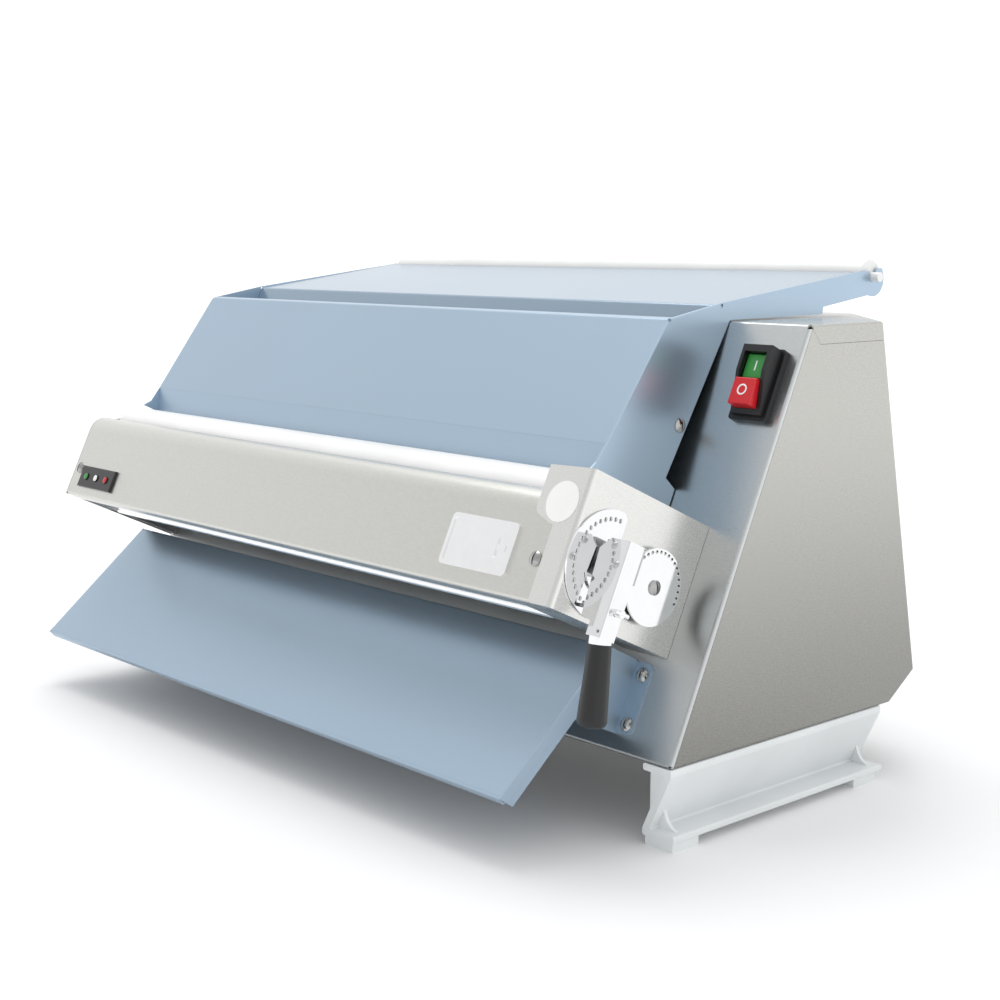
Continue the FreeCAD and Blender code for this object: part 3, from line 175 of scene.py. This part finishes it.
def turned(name, colour, rough):
    """Machined metal with fine tool marks across its length."""
    finish = Finish(name, metallic=1.0)
    marks = finish.noise((2500.0, 90.0, 90.0), 2.0)
    finish.colour(marks, tint(colour, 0.86), tint(colour, 1.08))
    finish.rough(marks, rough - 0.05, rough + 0.08)
    finish.bump(marks, 0.00002, 0.5)
    return finish.material


def painted(name, colour, rough, metallic=0.0):
    """Satin coating over sheet or castings, with slight orange peel."""
    finish = Finish(name, metallic=metallic)
    peel = finish.noise((500.0, 500.0, 500.0), 2.0)
    clouds = finish.noise((3.0, 3.0, 3.0), 2.0)
    finish.colour(clouds, tint(colour, 0.97), tint(colour, 1.03))
    finish.rough(clouds, rough - 0.02, rough + 0.02)
    finish.bump(peel, 0.000006, 0.4)
    return finish.material


def moulded(name, colour, rough, texture=0.00002, cell=1500.0):
    """Moulded plastic: a fine spark-eroded grain and a little colour drift."""
    finish = Finish(name)
    grain = finish.noise((cell, cell, cell), 2.0)
    drift = finish.noise((14.0, 14.0, 14.0), 3.0)
    finish.colour(drift, tint(colour, 0.94), tint(colour, 1.05))
    finish.rough(grain, rough - 0.04, rough + 0.06)
    finish.bump(grain, texture, 0.5)
    return finish.material


def rubber(name, colour):
    """Dull rubber with a fine fabric weave."""
    finish = Finish(name)
    weave = finish.noise((900.0, 900.0, 900.0), 3.0)
    finish.colour(weave, tint(colour, 0.6), tint(colour, 1.5))
    finish.rough(weave, 0.6, 0.8)
    finish.bump(weave, 0.00005, 0.6)
    return finish.material


# ---------------------------------------------------------------- finishes
HOUSING = (0.50, 0.495, 0.465)
HEAD = (0.63, 0.625, 0.59)
BLUE = (0.365, 0.465, 0.565)

FINISHES = {
    # the last number is the painted shade level: the housing sides darken towards the bottom
    "housing_steel": brushed("housing_steel", HOUSING, 0.27, "y", 0.35, 0.55),
    "head_steel": brushed("head_steel", HEAD, 0.32, "x", 0.35),
    "fixing_steel": polished("fixing_steel", (0.42, 0.42, 0.41), 0.10),
    "foot_plastic": moulded("foot_plastic", (0.76, 0.785, 0.79), 0.38),
    "frame_steel": turned("frame_steel", (0.50, 0.50, 0.50), 0.35),
    "bright_plate": polished("bright_plate", (0.93, 0.93, 0.93), 0.16),
    "badge_black": moulded("badge_black", (0.015, 0.015, 0.016), 0.22),
    "cap_white": moulded("cap_white", (0.86, 0.86, 0.84), 0.42),
    "polished_steel": polished("polished_steel", (0.88, 0.885, 0.89), 0.05),
    "scraper_plastic": moulded("scraper_plastic", (0.72, 0.72, 0.70), 0.45),
    "bronze": turned("bronze", (0.62, 0.38, 0.16), 0.32),
    "motor_grey": painted("motor_grey", (0.16, 0.18, 0.20), 0.45),
    "belt_rubber": rubber("belt_rubber", (0.02, 0.02, 0.02)),
    "black_plastic": moulded("black_plastic", (0.007, 0.007, 0.008), 0.42, 0.00004, 1100.0),
    "blue_sheet": painted("blue_sheet", BLUE, 0.36, 0.70),
    "white_roller": moulded("white_roller", (0.84, 0.84, 0.83), 0.33, 0.00001, 700.0),
    "gear_nylon": moulded("gear_nylon", (0.72, 0.68, 0.58), 0.45),
    "pulley_alloy": turned("pulley_alloy", (0.62, 0.62, 0.62), 0.3),
    "grip_black": moulded("grip_black", (0.007, 0.007, 0.008), 0.34, 0.00003, 1300.0),
    "button_green": moulded("button_green", (0.03, 0.27, 0.045), 0.30),
    "button_red": moulded("button_red", (0.58, 0.012, 0.018), 0.28),
}
HOPPER_SIDE = painted("hopper_side_sheet", tint(BLUE, 1.15), 0.30, 0.75)
NODE_FINISHES = {
    "hopper_side_right": HOPPER_SIDE,
    "hopper_side_left": HOPPER_SIDE,
    "head_end_plate": brushed("end_plate_steel", (0.75, 0.745, 0.72), 0.28, "y", 0.2),
    # the last number is the painted shade level: the front plate darkens slightly towards the bottom
    "housing_front": brushed("front_plate_steel", (0.60, 0.62, 0.62), 0.30, "x", 0.25, 0.9),
    "hopper_tray": painted("tray_sheet", tint(BLUE, 0.86), 0.24, 0.80),
}


def dress_cad_nodes():
    """Give every CAD part its own finish, or the one that its slot names."""
    for part in frame["record"]["subparts"]:
        mesh = frame["nodes"][part["node"]].data
        mesh.materials.clear()
        mesh.materials.append(NODE_FINISHES.get(part["node"], FINISHES[part["material_slot"]]))
        for polygon in mesh.polygons:
            polygon.material_index = 0


# ---------------------------------------------------------------- small trims
def on_face(x, n, u):
    """A place given by its x, its distance out of the sloping face and its distance up it, in mm."""
    return DATUM + Vector((x, 0, 0)) * MM + FACE_NORMAL * n * MM + FACE_UP * u * MM


def trim(name, mesh, place, body, slot):
    """A small piece drawn with +Z out of the sloping face."""
    obj = bpy.data.objects.new(name, mesh)
    turn = Matrix((Vector((1, 0, 0)), FACE_UP, FACE_NORMAL)).transposed().to_4x4()
    mesh.transform(Matrix.Translation(place) @ turn)
    mesh.materials.append(FINISHES[slot])
    bpy.context.scene.collection.objects.link(obj)
    for polygon in mesh.polygons:
        polygon.use_smooth = True
    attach(obj, body)


def lathe(name, profile, steps, closed=False):
    """A mesh turned round Z from (radius, height) points in mm."""
    shape = bmesh.new()
    angles = [2 * math.pi * i / steps for i in range(steps)]
    rings = []
    for radius, height in profile:
        if radius == 0:
            rings.append([shape.verts.new((0, 0, height * MM))])
            continue
        rings.append([shape.verts.new((radius * MM * math.cos(angle), radius * MM * math.sin(angle),
                                       height * MM)) for angle in angles])
    pairs = list(zip(rings, rings[1:])) + ([(rings[-1], rings[0])] if closed else [])
    for low, high in pairs:
        for i in range(steps):
            j = (i + 1) % steps
            corners = [low[i % len(low)], low[j % len(low)], high[j % len(high)], high[i % len(high)]]
            shape.faces.new(list(dict.fromkeys(corners)))
    return finish_mesh(name, shape)


def finish_mesh(name, shape):
    """A mesh made from a finished shape, with its normals outward."""
    bmesh.ops.recalc_face_normals(shape, faces=shape.faces)
    mesh = bpy.data.meshes.new(name)
    shape.to_mesh(mesh)
    shape.free()
    return mesh


def bar(name, width, length, height):
    """A raised bar with rounded upper edges, in mm."""
    rounding = 0.12
    shape = bmesh.new()
    bmesh.ops.create_cube(shape, size=1.0, matrix=Matrix.Diagonal((width * MM, length * MM, height * MM, 1)))
    bmesh.ops.translate(shape, verts=shape.verts, vec=(0, 0, height * MM / 2))
    edges = [edge for edge in shape.edges if max(v.co.z for v in edge.verts) > 0]
    bmesh.ops.bevel(shape, geom=edges, offset=rounding * MM, segments=3, affect="EDGES", profile=0.5)
    return finish_mesh(name, shape)


def build_button_marks():
    """A plain white bar on the start button and a plain white ring on the stop button."""
    proud, chamfer = 0.30, 0.1
    width, length = 1.2, 7.4
    start_mark = bar("start_mark", width, length, proud)
    trim("start_mark", start_mark, on_face(*START_MARK), "start_button", "cap_white")
    outer, inner = 4.1, 2.95
    profile = [(inner, 0.0), (outer, 0.0), (outer, proud - chamfer), (outer - chamfer, proud),
               (inner + chamfer, proud), (inner, proud - chamfer)]
    stop_mark = lathe("stop_mark", profile, steps=48, closed=True)
    trim("stop_mark", stop_mark, on_face(*STOP_MARK), "stop_button", "cap_white")


def build_badge_enamel():
    """A domed drop of enamel on each of the badge's three studs."""
    radius, rise, sink, steps = 2.9, 0.6, 0.1, 6
    angles = [math.pi / 2 * i / steps for i in range(steps)]
    dome = [(0, -sink), (radius, -sink)]
    dome += [(radius * math.cos(angle), rise * math.sin(angle)) for angle in angles]
    dome += [(0, rise)]
    x, n, u = FIRST_STUD
    for i, slot in enumerate(("button_green", "cap_white", "button_red")):
        name = "badge_enamel_%d" % (i + 1)
        trim(name, lathe(name, dome, steps=32), on_face(x + STUD_PITCH * i, n, u), "machine", slot)


# ---------------------------------------------------------------- studio
def build_floor():
    """A pale matt floor that brightens into the backdrop far away."""
    size, fade_start, fade_end = 60.0, 0.7, 4.0
    floor = Finish("studio_floor", roughness=0.9)
    floor.colour(floor.noise((0.7, 0.7, 0.7)), (0.885, 0.887, 0.89), (0.905, 0.907, 0.91))
    away = floor.add("ShaderNodeVectorMath", {0: floor.place}, operation="LENGTH").outputs["Value"]
    glow = floor.spread(away, 0.02, 0.28, fade_start, fade_end)
    floor.shader.inputs["Emission Color"].default_value = (1, 1, 1, 1)
    floor.tree.links.new(glow, floor.shader.inputs["Emission Strength"])
    bpy.ops.mesh.primitive_plane_add(size=size, location=(0, 0, 0))
    plane = bpy.context.object
    plane.name = "floor"
    plane.data.materials.append(floor.material)


def build_world():
    """A white room: even at the horizon, dimmer overhead and in front of the machine."""
    horizon, overhead = 1.22, 1.0
    front_loss = 0.30
    # ranges of one component of the view direction, which runs from -1 to 1
    in_front, beside = -0.75, -0.15
    near_horizon, clear_of_horizon = 0.05, 0.22
    low, high = 0.1, 0.9
    world = bpy.data.worlds.new("studio")
    world.use_nodes = True
    room = Nodes(world.node_tree)
    way = room.add("ShaderNodeTexCoord").outputs["Generated"]
    up, back = room.axis(way, "Z"), room.axis(way, "Y")
    ahead = room.spread(back, front_loss, 0.0, in_front, beside)
    above_horizon = room.spread(up, 0.0, 1.0, near_horizon, clear_of_horizon)
    dimming = room.math("MULTIPLY", ahead, above_horizon)
    evenness = room.spread(up, horizon, overhead, low, high)
    backdrop = room.tree.nodes["Background"]
    backdrop.inputs["Color"].default_value = (0.985, 0.99, 1.0, 1)
    level = room.math("MULTIPLY", evenness, room.math("SUBTRACT", 1.0, dimming))
    room.tree.links.new(level, backdrop.inputs["Strength"])
    bpy.context.scene.world = world


def area_light(name, place, target, size, power):
    """A rectangular lamp that faces a target."""
    light = bpy.data.lights.new(name, "AREA")
    light.shape = "RECTANGLE"
    light.size, light.size_y = size
    light.energy = power
    lamp = bpy.data.objects.new(name, light)
    lamp.location = place
    lamp.rotation_euler = (Vector(target) - Vector(place)).to_track_quat("-Z", "Y").to_euler()
    bpy.context.scene.collection.objects.link(lamp)


def build_lights():
    build_world()
    area_light("overhead", place=(-0.9, 0.5, 3.2), target=(0, 0, 0), size=(2.4, 2.0), power=46)


def build_camera():
    """A camera off the machine's front right corner, just above its top."""
    tilt, turn = 81.06, 48.1
    camera = bpy.data.cameras.new("camera")
    camera.lens, camera.sensor_width = 59.3, 36.0
    camera.clip_start, camera.clip_end = 0.05, 60.0
    holder = bpy.data.objects.new("camera", camera)
    holder.location = (1.0566, -0.902225, 0.4072)
    holder.rotation_euler = (math.radians(tilt), 0, math.radians(turn))
    bpy.context.scene.collection.objects.link(holder)
    bpy.context.scene.camera = holder
    bpy.context.scene.view_settings.view_transform = "Standard"


dress_cad_nodes()
build_button_marks()
build_badge_enamel()
build_floor()
build_lights()
build_camera()
